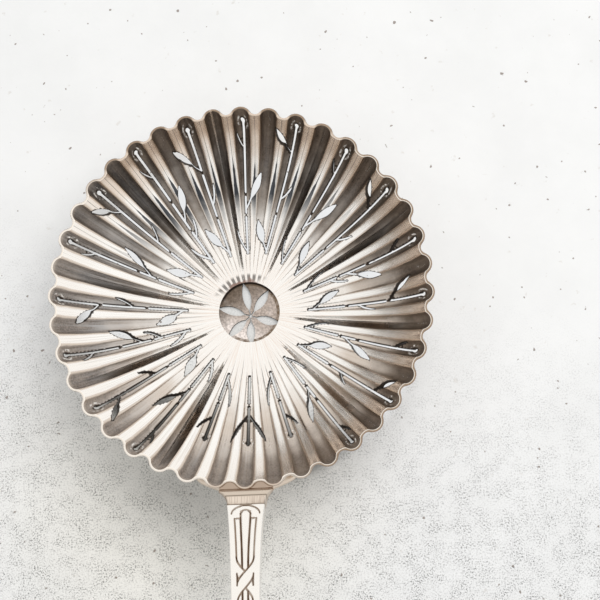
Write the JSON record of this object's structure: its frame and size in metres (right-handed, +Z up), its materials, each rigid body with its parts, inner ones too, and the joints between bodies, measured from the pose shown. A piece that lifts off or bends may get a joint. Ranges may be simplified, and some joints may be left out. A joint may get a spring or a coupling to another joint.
{
  "type": "strainer spoon",
  "caption": "Pierced strainer spoon: a round fluted bowl with a scalloped rim and sawn leaf sprigs, on an arched handle that widens to a rounded end.",
  "frame": {"origin": "centre of the medallion's flat underside, on the surface that the spoon stands on", "axes": "+Z up, square to the bowl's level rim; +Y away from the handle, along the spoon's length; +X to the right"},
  "size_m": [0.0698, 0.205, 0.0272],
  "materials": {
    "bowl_silver": "worn polished silver, dark in the flutes",
    "medallion_silver": "dulled silver",
    "handle_silver": "worn polished silver with dark chased lines",
    "solder": "satin"
  },
  "bodies": {
    "root": {"bowl_shell": "bowl_silver", "centre_medallion": "medallion_silver", "medallion_solder": "solder", "neck_saddle": "handle_silver", "neck_solder": "solder", "handle": "handle_silver"}
  },
  "joints": []
}
